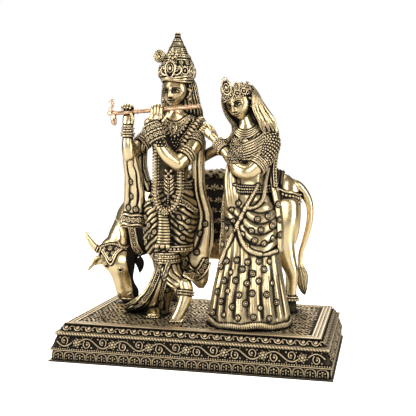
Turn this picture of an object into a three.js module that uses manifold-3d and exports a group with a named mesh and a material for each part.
// A cast brass idol: Krishna with a flute, Radha at his shoulder and a cow behind them, on a plinth.
// Millimetres, +Z up, +X to the viewer's right, +Y away from the viewer. The origin is under the plinth.
import * as THREE from "three";
import { mergeVertices } from "three/addons/utils/BufferGeometryUtils.js";
import Module from "manifold-3d";

const wasm = await Module();
wasm.setup();

// Driving dimensions of the plinth.
const PLINTH_WIDTH = 300;
const PLINTH_DEPTH = 200;
const DECK = 40;
const BAND_TOPS = { arches: 13.5, scrolls: 28, rope: 31.5, lobes: 38 };
const BAND_INSETS = { arches: 2, scrollFoot: 2.5, scrollHead: 7, rope: 5.2, lobeFoot: 8, lobeHead: 14 };

// Where each figure stands on the deck: every point of a figure is measured from here.
const FEET = {
  krishna: new THREE.Vector3(-42, -15, DECK),
  radha: new THREE.Vector3(54, -36, DECK),
  cow: new THREE.Vector3(0, 52, DECK),
};
const SUNK = 1.2; // how far soles and hooves are let into the deck's own level before the deck is cut away
const GAP = 0.3; // left between two castings that touch

// The flute's bore line, from Krishna's foot point, and its thickness.
const FLUTE_START = [-57, -33, 224.5];
const FLUTE_END = [40, -22, 233];
const FLUTE_RADIUS = 2.5;
const FLUTE_ROOM = FLUTE_RADIUS + 0.35;

const vector = (p) => new THREE.Vector3(...p);
const from = (foot, points) => points.map((p) => vector(p).add(foot));

// A closed three.js geometry as a solid that can be joined and cut.
function solidOf(geometry) {
  const bare = new THREE.BufferGeometry();
  bare.setAttribute("position", geometry.getAttribute("position"));
  bare.setIndex(geometry.index);
  const merged = mergeVertices(bare, 1e-4);
  const made = new wasm.Manifold(
    new wasm.Mesh({
      numProp: 3,
      vertProperties: Float32Array.from(merged.attributes.position.array),
      triVerts: facingOut(merged),
    }),
  );
  return made;
}

// The triangles of a merged geometry, turned round if they make its volume negative.
function facingOut(geometry) {
  const position = geometry.attributes.position;
  const triangles = Uint32Array.from(geometry.index.array);
  const [a, b, c] = [new THREE.Vector3(), new THREE.Vector3(), new THREE.Vector3()];
  let volume = 0;
  for (let i = 0; i < triangles.length; i += 3) {
    a.fromBufferAttribute(position, triangles[i]);
    b.fromBufferAttribute(position, triangles[i + 1]);
    c.fromBufferAttribute(position, triangles[i + 2]);
    volume += a.dot(b.cross(c));
  }
  if (volume < 0) {
    for (let i = 0; i < triangles.length; i += 3) {
      [triangles[i + 1], triangles[i + 2]] = [triangles[i + 2], triangles[i + 1]];
    }
  }
  return triangles;
}

const fuse = (solids) => wasm.Manifold.union(solids);

// A surface through cross-sections. Each has a centre, two half widths and the directions that they lie
// along. relief(angle, t) scales the section and rise(angle, t) lifts it, with t from 0 at the first to 1.
function loft(sections, sides, relief = () => 1, rise = () => 0) {
  const rows = sections.length - 1;
  const geometry = new THREE.CylinderGeometry(1, 1, 1, sides, rows);
  const position = geometry.getAttribute("position");
  const p = new THREE.Vector3();
  for (let i = 0; i < position.count; i++) {
    p.fromBufferAttribute(position, i);
    const row = Math.round((0.5 - p.y) * rows);
    const angle = Math.atan2(p.z, p.x);
    const onRim = Math.hypot(p.x, p.z) > 0.5;
    const grow = onRim ? relief(angle, row / rows) : 0;
    const s = sections[row];
    p.copy(s.centre)
      .addScaledVector(s.across, Math.cos(angle) * s.half[0] * grow)
      .addScaledVector(s.deep, Math.sin(angle) * s.half[1] * grow);
    p.z += onRim ? rise(angle, row / rows) : 0;
    position.setXYZ(i, p.x, p.y, p.z);
  }
  return solidOf(geometry);
}

// Level sections one above another: each level is [height, x, y, half width, half depth].
function stack(foot, levels, sides, relief, rise) {
  const across = new THREE.Vector3(1, 0, 0);
  const deep = new THREE.Vector3(0, 1, 0);
  const sections = levels.map(([z, x, y, halfX, halfY]) => ({
    centre: new THREE.Vector3(x, y, z).add(foot),
    half: [halfX, halfY],
    across,
    deep,
  }));
  return loft(sections, sides, relief, rise);
}

// A limb along a smooth curve, with a rounded end at each tip. A radius is a number, or a pair for a flat
// section whose first half width lies along the line square to the curve and nearest to wide.
function limb(foot, points, radii, sides = 10, steps = 5, wide = new THREE.Vector3(1, 0, 0)) {
  const curve = new THREE.CatmullRomCurve3(from(foot, points), false, "centripetal");
  const pairs = radii.map((r) => (Array.isArray(r) ? r : [r, r]));
  const sections = [];
  for (let i = 0; i <= steps; i++) {
    const t = i / steps;
    const at = t * (pairs.length - 1);
    const low = Math.min(Math.floor(at), pairs.length - 2);
    const half = [0, 1].map((k) => THREE.MathUtils.lerp(pairs[low][k], pairs[low + 1][k], at - low));
    const along = curve.getTangent(t);
    const across = wide.clone().addScaledVector(along, -wide.dot(along)).normalize();
    const deep = new THREE.Vector3().crossVectors(along, across);
    sections.push({ centre: curve.getPoint(t), half, along, across, deep });
  }
  const tip = (s, sign) => ({
    ...s,
    centre: s.centre.clone().addScaledVector(s.along, sign * 0.6 * Math.min(...s.half)),
    half: s.half.map((h) => h * 0.55),
  });
  sections.unshift(tip(sections[0], -1));
  sections.push(tip(sections.at(-1), 1));
  return loft(sections, sides);
}

function ball(foot, centre, half, sides = 10) {
  const geometry = new THREE.SphereGeometry(1, sides, Math.round(sides * 0.7));
  geometry.scale(...half);
  geometry.translate(...vector(centre).add(foot).toArray());
  return solidOf(geometry);
}

// A turned shape standing on a point, from [radius, height] pairs that start and end on the axis.
function turned(foot, base, profile, sides, tilt = [0, 0, 0]) {
  const geometry = new THREE.LatheGeometry(
    profile.map(([r, z]) => new THREE.Vector2(r, z)),
    sides,
  );
  geometry.rotateX(Math.PI / 2);
  geometry.applyMatrix4(new THREE.Matrix4().makeRotationFromEuler(new THREE.Euler(...tilt)));
  geometry.translate(...vector(base).add(foot).toArray());
  return solidOf(geometry);
}

// A string of beads or a rope worked as one square-sided cord along a curve.
function cord(foot, points, radius, steps, closed = false) {
  const curve = new THREE.CatmullRomCurve3(from(foot, points), closed, "centripetal");
  const section = new THREE.Shape().absarc(0, 0, radius, 0, 2 * Math.PI);
  const options = { steps, curveSegments: 2, extrudePath: curve, bevelEnabled: false };
  return solidOf(new THREE.ExtrudeGeometry(section, options));
}

// Points of a level ellipse, with slope lifting the side that is away from the viewer.
function ringPoints([x, y, z], halfX, halfY, slope = 0, count = 10) {
  return Array.from({ length: count }, (_, i) => {
    const a = (2 * Math.PI * i) / count;
    return [x + halfX * Math.cos(a), y + halfY * Math.sin(a), z + slope * Math.sin(a)];
  });
}

// Upright pleats for a loft with twice as many sides, from depth low at its first section to high at its
// last.
const creases = (count, low, high) => (angle, t) =>
  1 + THREE.MathUtils.lerp(low, high, t) * Math.cos(count * (angle - Math.PI / 2));

// The plinth is a shell in three sloping bands, cast with its carving and a flat deck.
function plinth() {
  const slab = (low, high, insetLow, insetHigh) => {
    const geometry = new THREE.BoxGeometry(PLINTH_WIDTH, PLINTH_DEPTH, high - low);
    const position = geometry.getAttribute("position");
    for (let i = 0; i < position.count; i++) {
      const inset = position.getZ(i) < 0 ? insetLow : insetHigh;
      position.setX(i, position.getX(i) - Math.sign(position.getX(i)) * inset);
      position.setY(i, position.getY(i) - Math.sign(position.getY(i)) * inset);
    }
    geometry.translate(0, 0, (low + high) / 2);
    return solidOf(geometry);
  };
  const { arches, scrolls, rope, lobes } = BAND_TOPS;
  const inset = BAND_INSETS;
  const bands = [
    slab(0, 1.6, 0, 0),
    slab(1.5, arches, inset.arches, inset.arches + 0.6),
    slab(arches - 1.6, arches + 1, inset.arches - 0.8, inset.arches - 0.8),
    slab(arches, scrolls, inset.scrollFoot, inset.scrollHead),
    slab(scrolls, rope, inset.rope, inset.rope),
    slab(rope, lobes, inset.lobeFoot, inset.lobeHead),
    slab(lobes, DECK, inset.lobeHead - 1.2, inset.lobeHead - 0.4),
  ];
  return fuse([...bands, ...plinthCarving()]);
}

// Repeats a motif along the sides, counts in the order front, right, back, left. A motif is a solid made at
// the middle of the front side, facing -Y.
function alongSides(motif, [front, right, back, left], inset) {
  const made = [];
  const sides = [
    { turn: 0, length: PLINTH_WIDTH, reach: PLINTH_DEPTH / 2, count: front },
    { turn: 90, length: PLINTH_DEPTH, reach: PLINTH_WIDTH / 2, count: right },
    { turn: 180, length: PLINTH_WIDTH, reach: PLINTH_DEPTH / 2, count: back },
    { turn: 270, length: PLINTH_DEPTH, reach: PLINTH_WIDTH / 2, count: left },
  ];
  for (const { turn, length, reach, count } of sides) {
    const pitch = (length - 2 * inset) / count;
    for (let i = 0; i < count; i++) {
      const x = (i + 0.5 - count / 2) * pitch;
      made.push(motif.translate([x, -reach, 0]).rotate([0, 0, turn]));
    }
  }
  return made;
}

// The rows that show from a step away: an arcade of upright cells and a row of rosettes above it.
// The back is plainer.
function plinthCarving() {
  const { arches, scrolls } = BAND_TOPS;
  const cell = new THREE.CylinderGeometry(6.4, 6.4, arches - 3.6, 3);
  cell.rotateX(Math.PI / 2);
  cell.scale(0.98, 0.34, 1);
  cell.translate(0, 2.3, arches / 2 + 0.2);

  const rosette = new THREE.CylinderGeometry(2.4, 5.6, 3.4, 5);
  rosette.rotateX(Math.PI / 2 + 0.3);
  rosette.translate(0, 4.4, (arches + scrolls) / 2 + 0.5);

  return [
    ...alongSides(solidOf(cell), [24, 16, 12, 16], 4),
    ...alongSides(solidOf(rosette), [7, 4, 5, 4], 10),
  ];
}

// Krishna stands on one leg with the other crossed before it, in a pleated dhoti.
function krishna() {
  const K = FEET.krishna;
  const slanting = (angle, t) => 1 + (t < 0.7 ? 0.06 : 0) * Math.sin(9 * angle + 12 * t);
  const parts = [
    // Torso and neck.
    stack(K, [
      [145, 3, 0, 21, 14],
      [163, 3, 0, 18.5, 13],
      [190, 6.5, -1, 26, 16],
      [204, 8.5, 0, 28, 14.5],
      [216, 10, 0, 27, 12.5],
      [223, 10, -0.5, 20, 12],
      [227, 9.5, -1.5, 11, 10.5],
      [240, 9, -3, 7.5, 8],
    ], 10),
    ...headOf(K, [9, -6, 247.5], 14.4, 0),
    // Dhoti over hips and thighs.
    stack(K, [
      [66, -4, -1, 20, 16],
      [84, -1, -1, 27, 19.5],
      [102, 2, -0.5, 30.5, 20],
      [120, 3.5, 0, 30.5, 20],
      [134, 3.2, 0, 26, 18],
      [145, 3.2, 0, 22.5, 15.5],
      [147, 3.2, 0, 25, 17.5],
      [152, 3.2, 0, 24.5, 17],
    ], 18, slanting),
    // Pleats that fall from the knee bands to the standing foot.
    stack(K, [
      [4, -13, 0, 14, 11],
      [22, -7, 0, 13.5, 12.5],
      [46, 1, -1, 16.5, 14.5],
      [74, -2, -1, 22, 17],
    ], 16, creases(8, 0.07, 0.1)),
    // The two thighs, each ending in a wide band above the knee.
    limb(K, [[-12, -4, 116], [-6, -12, 94], [3, -15, 70]], [15, 13.5, 11.5], 8, 2),
    limb(K, [[17, -4, 118], [17, -8, 96], [16, -9, 76]], [15, 13, 10.5], 8, 2),
    turned(K, [3, -14.5, 65], [[0, 0], [13, 0], [13, 8], [0, 8]], 8, [-0.15, 0.12, 0]),
    turned(K, [16, -9, 73.5], [[0, 0], [12, 0], [12, 7], [0, 7]], 8),
    // Train of the dhoti, sweeping to the deck.
    limb(
      K,
      [[-1, -15, 54], [-10, -14, 30], [-22, -10, 14], [-46, -1, 5.5]],
      [[7, 6], [9, 6], [11, 5.5], [7, 4.5]],
      7, 4,
    ),
    ...krishnaFeet(K),
    ...krishnaCloths(K),
    ...krishnaArms(K),
    ...krishnaJewels(K),
    ...krishnaCrown(K),
  ];
  return fuse(parts).subtract(fluteRod(FLUTE_ROOM, 3));
}

// A plain head: an egg with a chin and a nose. lean tips it to the viewer's left, in radians.
function headOf(foot, [x, y, z], width, lean) {
  const tip = (dx, dy, dz) => {
    const p = new THREE.Vector3(dx, dy, dz).applyAxisAngle(new THREE.Vector3(0, 1, 0), -lean);
    return [x + p.x, y + p.y, z + p.z];
  };
  return [
    ball(foot, tip(0, 0, 3), [width, width * 1.02, width * 1.12], 9),
    ball(foot, tip(0, -4, -7), [width * 0.66, width * 0.72, width * 0.62], 7),
    limb(foot, [tip(0, -14, 5), tip(0, -16.2, -3)], [1.2, 2.6], 4, 1),
  ];
}

// The standing foot, and the foot that crosses in front on its toes.
function krishnaFeet(K) {
  return [
    limb(K, [[-12, 2, 8], [-12, -12, 5], [-10, -24, 3]], [[6.5, 6.5], [7, 5], [6.5, 3]], 7, 2),
    limb(K, [[3, -16, 62], [12, -23, 46], [23, -29, 30]], [9.5, 8, 6.2], 8, 2),
    limb(K, [[28.5, -31, 31], [26.5, -35, 17], [20.5, -40, 4.5]], [[9, 6.5], [8, 5.5], [7, 3.4]], 7, 2),
  ];
}

// The shawl: one end hangs from the raised forearm, the other falls behind the far arm to a point.
function krishnaCloths(K) {
  return [
    stack(K, [
      [178, -37, -24, 8, 6],
      [156, -36.5, -16, 9.2, 6.4],
      [128, -37, -9.5, 11.4, 7],
      [114, -38.5, -8.5, 12.4, 7.6],
      [113, -38.5, -8.5, 14, 9],
      [100, -39.5, -8, 14, 9],
    ], 10, creases(5, 0.09, 0.02)),
    // Over the raised upper arm and down the side.
    limb(
      K,
      [[-26, 0, 206], [-31, -3, 188], [-30, -4, 166], [-24, -3, 146]],
      [[6, 8], [6, 8], [5, 7], [5, 7]],
      6, 2,
    ),
    // The far end, from the shoulder down to its wide border and the point below it.
    stack(K, [
      [218, 31, 3, 6, 8],
      [194, 33, 2, 8, 8],
      [166, 32, 5, 6.5, 6],
      [140, 33, 7, 7, 5],
      [112, 39.5, 8, 8.5, 5],
      [85, 36.5, 7, 12, 5.5],
      [62, 31, 5, 15.5, 6],
      [47, 32.5, 5, 13, 5.5],
      [29, 37, 5, 2, 2],
    ], 8, creases(4, 0.1, 0.08)),
    // Hair and veil behind the head.
    stack(K, [
      [264, 9, 4, 15, 12],
      [248, 11, 6, 20, 12],
      [228, 14, 8, 23, 11],
      [190, 12, 8, 19, 8],
    ], 10, creases(5, 0.05, 0.05)),
  ];
}

// Both hands are at the viewer's left: the far one behind the flute, the near one before it. Radii step out
// at the bangles, the cuff and the armlet.
function krishnaArms(K) {
  return [
    limb(K, [[-15, -1, 208], [-29, -12, 193], [-38, -28, 180]], [9, 8, 7], 6, 2),
    limb(K, [[-38, -29, 180], [-38.5, -30, 196], [-38.5, -31, 212]], [6.8, 6.4, 6.8, 4.6], 6, 3),
    ...hand(K, [-38.5, -31, 214.5], [[0, 3.5, 6], [0, 4, 14], [0, -1.5, 19]], [4.5, -1, -3.5]),
    limb(K, [[31, -1, 211], [29, -14, 192], [18, -33, 171]], [9, 9.6, 10.6, 8.4, 8], 7, 3),
    limb(K, [[19, -33, 170], [6, -35, 184], [-13, -34, 212]], [8, 7.6, 6.8, 7.8, 7.4], 7, 3),
    ...hand(K, [-9, -30.5, 220.5], [[4, -2, 5], [4, -2.2, 12], [4, 3.5, 13.2]], [-4, 0.5, -6.5]),
  ];
}

// A palm, four fingers held together round the flute and a thumb, placed from the palm's middle.
function hand(foot, palm, fingers, thumb) {
  const at = ([x, y, z]) => [palm[0] + x, palm[1] + y, palm[2] + z];
  const [x, y, z] = thumb;
  const joints = [thumb, [x * 1.6, y * 0.6, z + 5], [x * 1.4, y + 2, z + 11]];
  return [
    ball(foot, palm, [6.2, 4, 8.2], 6),
    limb(foot, fingers.map(at), [[6.2, 1.8], [6, 1.7], [5.6, 1.5]], 6, 2),
    limb(foot, joints.map(at), [2.1, 2, 1.6], 4, 2),
  ];
}

// Garland, pendant and the ribbed sash in front.
function krishnaJewels(K) {
  const garland = [
    [36, -4, 219], [30, -15, 205], [19, -19, 184], [18.5, -20.5, 150], [16, -22.5, 130],
    [3, -23, 119], [-8, -22.5, 132], [-9, -20, 160], [-10, -18, 185], [-9, -12, 205],
  ];
  return [
    ball(K, [9.5, -14, 211], [5, 3, 6], 5),
    cord(K, garland, 3, 15),
    stack(K, [[81, 1.5, -23, 8, 3], [100, 1.5, -23.5, 7.6, 3.6], [118, 1.5, -21, 5.6, 3]], 6),
  ];
}

// The tall crown in tiers, with a leaf in front, a boss over each ear and a peacock feather.
function krishnaCrown(K) {
  const profile = [
    [0, 258.6], [17.6, 258.6], [20.6, 265], [20.6, 272], [17.6, 282], [13.6, 289.5], [10.4, 292.5],
    [9.4, 297], [7.2, 300.5], [4.6, 306], [3.2, 312], [0, 315.5],
  ];
  const facingViewer = [Math.PI / 2, 0, 0];
  return [
    turned(K, [8.5, -1, 0], profile, 9),
    ball(K, [7, -20, 271], [6, 3.6, 7.5], 6),
    ball(K, [26, -8, 266], [3.6, 6, 8], 4),
    ball(K, [-7.4, -8, 266], [3.6, 6, 8], 4),
    // The feather's eye and its stem.
    turned(K, [-9.5, -8, 288.5], [[0, 0], [6, 0], [7.2, 1.6], [6, 3.2], [0, 2.2]], 8, facingViewer),
    limb(K, [[-6, -8, 285], [1, -7, 281]], [2.4, 3], 5, 1),
  ];
}

// The flute's own rod, longer than the flute by extra at each end.
function fluteRod(radius, extra = 0) {
  const [start, end] = from(FEET.krishna, [FLUTE_START, FLUTE_END]);
  const along = end.clone().sub(start);
  const rod = new THREE.CylinderGeometry(radius, radius, along.length() + 2 * extra, 8);
  rod.applyQuaternion(
    new THREE.Quaternion().setFromUnitVectors(new THREE.Vector3(0, 1, 0), along.clone().normalize()),
  );
  rod.translate(...start.add(end).multiplyScalar(0.5).toArray());
  return solidOf(rod);
}

// The copper flute ends in a small peacock: its neck stands up and its ribbed tail hangs down.
function flute() {
  const K = FEET.krishna;
  const [x, y, z] = FLUTE_START;
  const neck = [[x, y, z + 1], [x + 0.5, y, z + 6], [x + 2, y, z + 10], [x - 1, y, z + 13]];
  const tail = [[x + 3, y - 0.5, z - 1], [x + 3.4, y - 0.5, z - 6], [x + 4, y - 0.5, z - 11]];
  return fuse([
    fluteRod(FLUTE_RADIUS),
    limb(K, [[x + 4, y, z + 1], [x - 0.5, y, z]], [3.2, 3.2], 7, 1),
    limb(K, neck, [2.4, 1.7, 1.5, 1.3], 4, 4),
    limb(K, tail, [2.2, 3, 2.5], 7, 2),
  ]);
}

// Radha leans to him with one hand on his shoulder, in a flared skirt with a veil over her head.
function radha() {
  const R = FEET.radha;
  const pleats = creases(18, 0.045, 0);
  const hemWave = (angle, t) => (t < 0.25 ? 1.2 * Math.sin(4 * angle) : 0);
  const parts = [
    stack(R, [
      [1.4, 1, 0, 46.5, 43.5],
      [7, 1, 0, 46.5, 43.5],
      [9, 1, 0, 43.5, 41],
      [36, 0.5, 0, 38.5, 36],
      [76, 0.5, 0, 31.5, 28.5],
      [112, 1, 0, 28.5, 23.5],
    ], 36, pleats, hemWave),
    stack(R, [
      [84, 1, 0, 31.5, 28],
      [114, 1, 0, 30.5, 24.5],
      [130, 0, 0, 27, 21],
      [141, -2, 0, 23, 18],
      [142, -2, 0, 25, 20],
      [147, -2.5, 0, 23.5, 18.5],
      [154, -3, 0, 19, 15],
      [168, -2, 0, 20.5, 15.5],
      [180, -1, -1.5, 23.5, 18],
      [192, 0, -0.5, 24.5, 16.5],
      [202, 0, 0.5, 24.5, 13],
      [210, -0.5, 0, 18.5, 11],
      [215, -3, -0.5, 9.5, 9],
      [228, -8, -1, 7, 7.5],
    ], 10),
    ...headOf(R, [-11.5, -5, 234], 13.6, 0.36),
    ...radhaVeil(R),
    ...radhaArms(R),
    ...radhaDrapes(R),
    ...radhaTiara(R),
  ];
  return fuse(parts);
}

// The veil's cloth behind her, and its two edges in front of it.
function radhaVeil(R) {
  return [
    stack(R, [
      [257, -12, 5, 7, 8],
      [244, -9.5, 7, 16, 13],
      [232, -8, 8, 21.5, 12.5],
      [219, -1, 9, 23, 11.5],
      [192, 4, 9, 25, 11],
      [166, 1, 11, 23, 10],
      [140, -1.5, 12, 28, 11],
      [112, 0.5, 14, 33, 12],
      [60, -6, 15, 30, 11],
      [2, -10, 16, 35, 12],
    ], 10, creases(5, 0.03, 0.05)),
    // The veil's hanging edge by her cheek.
    limb(
      R,
      [[-31.3, 4, 242], [-26.6, 1, 226], [-15.5, -4, 211], [-19, -7, 203], [-24, -7, 195]],
      [3, 2.8, 2.8, 2.6, 2.2],
      5, 4,
    ),
    // The fall over her near hip.
    limb(
      R,
      [[26, -2, 200], [24, 2, 178], [22.7, 2, 166], [24.5, 2, 148], [30, 2, 120], [32, 0, 100], [32, 0, 84]],
      [[5, 8], [4, 8], [4, 8], [4, 9], [4.4, 10], [4.6, 10], [4.6, 10]],
      6, 4,
    ),
  ];
}

// The near hand rests on his shoulder; the far arm passes behind his back. Radii step out at the sleeve's
// hem and the stacked bracelets.
function radhaArms(R) {
  const slanted = new THREE.Vector3(0.6, 0, 0.8);
  const palm = [[-42, 4.5, 201], [-49, 9, 207.5], [-61, 13, 214]];
  return [
    limb(R, [[21, -2, 199], [19, -12, 184], [9, -22, 170]], [9.8, 9.8, 9.8, 9.6, 10.4], 8, 3),
    limb(
      R,
      [[5, -24, 166], [-2, -24.5, 163], [-18, -13, 176], [-38, 2, 196], [-44, 6, 202]],
      [8, 8, 7, 6.2, 6.8, 4.6],
      7, 5,
    ),
    limb(R, palm, [[4.6, 4], [6.6, 3.4], [5.2, 2.2]], 8, 3, slanted),
    limb(R, [[-19, 3, 195], [-33, 14, 190], [-47, 26, 185], [-64, 37, 175]], [8.5, 7.5, 6.5, 5], 6, 2),
  ];
}

// The upper skirt's edges: a strip that falls aslant to the left and a loop that crosses the hip.
function radhaDrapes(R) {
  const strip = [[9, -19, 150], [2, -24, 132], [-10, -27, 106], [-20, -25, 84], [-27, -20, 68]];
  const loop = [[-8, -28, 104], [0, -31, 90], [14, -31, 80], [28, -22, 76], [34, -8, 78], [35, 6, 80]];
  return [cord(R, strip, 2.6, 6), cord(R, loop, 2.6, 7)];
}

// A pointed tiara, tipped with her head, and its leaf in front.
function radhaTiara(R) {
  const lean = -0.36;
  return [
    turned(R, [-14, -3, 243], [[0, 0], [15.4, 0], [15.4, 6], [12, 13], [0, 16]], 11, [0.1, lean, 0]),
    ball(R, [-25.5, -12, 259], [5, 3.6, 9.5], 6),
  ];
}

// The cow stands behind them, facing left, and lowers her head to the deck.
function cow() {
  const C = FEET.cow;
  const side = new THREE.Vector3(0, 1, 0);
  const head = [
    [-130, -8, 67], [-120, -12, 55], [-116, -14, 44], [-112, -14, 26], [-107, -13, 12], [-106, -12, 6],
  ];
  const tail = [
    [86, 1, 150], [95.5, 3.5, 145], [102.5, 5.5, 137], [108, 6, 127], [110, 6, 113], [108.6, 6, 98],
    [104.6, 6, 82], [100, 6, 65], [99.5, 6, 48],
  ];
  const tuft = [[101.5, 6, 50], [103.5, 6, 38], [103, 6, 28], [105, 6, 20]];
  const parts = [
    limb(
      C,
      [[-62, 0, 108], [-30, 0, 108], [10, 0, 106], [50, 0, 112], [76, 0, 113.5], [90, 0, 113.5]],
      [[22, 44], [26, 50], [27, 51], [25.6, 51], [22, 48], [10, 40]],
      12, 5, side,
    ),
    // Withers' hump, neck and head.
    ball(C, [-48, 0, 154], [18, 10, 17], 7),
    limb(
      C,
      [[-56, 0, 107], [-84, 0, 98], [-104, -2, 82], [-122, -7, 64]],
      [[20, 44], [17, 42], [14, 31], [12, 20]],
      9, 3, side,
    ),
    limb(C, head, [[15, 11], [21.5, 14], [18.4, 14], [12.5, 10.5], [14.4, 10], [11.5, 7]], 9, 5),
    ...cowHorns(C),
    ...cowLegs(C, -15, 0, 0),
    ...cowLegs(C, 15, -6.5, 7),
    ...cowDress(C),
    // Tail, held clear of the thigh, and its tuft.
    limb(C, tail, [5, 6, 5.6, 4.6, 3.8, 3.7, 3.4, 3, 3], 6, 8),
    limb(C, tuft, [3, 5.6, 5.6, 2.4], 6, 3),
  ];
  return fuse(parts);
}

// Horns and ears on both sides of the poll.
function cowHorns(C) {
  const ear = [[3, 2.6], [6, 2.6], [1.4, 1]];
  const nearEar = new THREE.Vector3(1, 0, 1);
  const farEar = new THREE.Vector3(1, 0, -1);
  return [
    limb(C, [[-134, -12, 61], [-146, -14, 64], [-154.5, -16, 74], [-161, -17, 87]], [5, 5, 4, 1.3], 6, 4),
    limb(C, [[-118, -12, 64], [-110, -19, 74], [-111, -20, 88], [-121, -18, 101]], [5, 4.6, 3.6, 1.3], 6, 4),
    limb(C, [[-138, -5, 54], [-149, -6, 47], [-160, -8, 36]], ear, 6, 2, nearEar),
    limb(C, [[-104, -6, 57], [-95, -6, 50], [-94, -6, 37]], ear, 6, 2, farEar),
  ];
}

// A hind leg and a foreleg on one side, each from the body to a hoof. hindShift and foreShift move them
// along X.
function cowLegs(C, y, hindShift, foreShift) {
  const moved = (points, shift) => points.map(([x, dy, z]) => [x + shift, dy, z]);
  const hind = [
    [78, y * 0.8, 118], [76, y, 96], [80, y, 76], [88, y, 56], [92.5, y, 43], [92.8, y, 24], [92, y, -SUNK],
  ];
  const fore = [[-56, y * 0.9, 92], [-58, y, 66], [-60, y, 40], [-60, y, 20], [-60, y, -SUNK]];
  const thigh = [[22, 13], [20, 12], [14, 9.5], [10, 7.5], [6.4, 6], [5.6, 5.6], [7.4, 7]];
  return [
    limb(C, moved(hind, hindShift), thigh, 6, 6),
    limb(C, moved(fore, foreShift), [[14, 11], [9.5, 8.5], [6, 6], [5.6, 5.6], [7.4, 7]], 6, 4),
  ];
}

// Saddle cloth, crupper strap and brow cloth.
function cowDress(C) {
  const side = new THREE.Vector3(0, 1, 0);
  const strap = [
    [50, -20, 143], [64, -20.5, 141], [77, -19, 138], [90, -10, 134], [97, 0, 132],
    [90, 10, 134], [77, 19, 138], [64, 20.5, 141], [50, 20, 143],
  ];
  return [
    limb(C, [[-42, 0, 112], [5, 0, 110], [62, 0, 114]], [[28, 50], [29.2, 51.5], [28, 49.5]], 11, 2, side),
    cord(C, strap, 3, 8),
    ball(C, [-128, -20, 57], [12, 5, 10], 6),
  ];
}

// The deck is flat, so whatever a figure sends below it is cut away.
function standOnDeck(figure) {
  const below = new THREE.BoxGeometry(2 * PLINTH_WIDTH, 2 * PLINTH_DEPTH, DECK);
  below.translate(0, 0, DECK / 2 + GAP);
  return figure.subtract(solidOf(below));
}

// Cuts one casting clear of another, with the gap that is left between castings on every side.
function clearOf(figure, neighbour) {
  let cut = figure;
  for (const axis of [0, 1, 2]) {
    for (const sign of [-1, 1]) {
      const step = [0, 0, 0];
      step[axis] = sign * GAP;
      cut = cut.subtract(neighbour.translate(step));
    }
  }
  return largestOf(cut);
}

function largestOf(solid) {
  const bodies = solid.decompose();
  return bodies.reduce((best, body) => (body.volume() > best.volume() ? body : best));
}

const BRASS = new THREE.MeshStandardMaterial({ color: 0xb08f4a, metalness: 1, roughness: 0.34 });
const DARK_BRASS = new THREE.MeshStandardMaterial({ color: 0x6e5c36, metalness: 1, roughness: 0.45 });
const COPPER = new THREE.MeshStandardMaterial({ color: 0xb98563, metalness: 1, roughness: 0.36 });

function meshOf(name, solid, material) {
  const made = solid.getMesh();
  const geometry = new THREE.BufferGeometry();
  geometry.setAttribute("position", new THREE.BufferAttribute(made.vertProperties.slice(), 3));
  geometry.setIndex(new THREE.BufferAttribute(made.triVerts.slice(), 1));
  geometry.computeVertexNormals();
  const mesh = new THREE.Mesh(geometry, material);
  mesh.name = name;
  return mesh;
}

const krishnaSolid = largestOf(standOnDeck(krishna()));
const radhaSolid = clearOf(standOnDeck(radha()), krishnaSolid);
const cowSolid = largestOf(standOnDeck(cow()));

const idol = new THREE.Group();
idol.name = "radha_krishna_idol";
idol.add(
  meshOf("plinth", plinth(), DARK_BRASS),
  meshOf("krishna", krishnaSolid, BRASS),
  meshOf("flute", flute(), COPPER),
  meshOf("radha", radhaSolid, BRASS),
  meshOf("cow", cowSolid, BRASS),
);

export default idol;
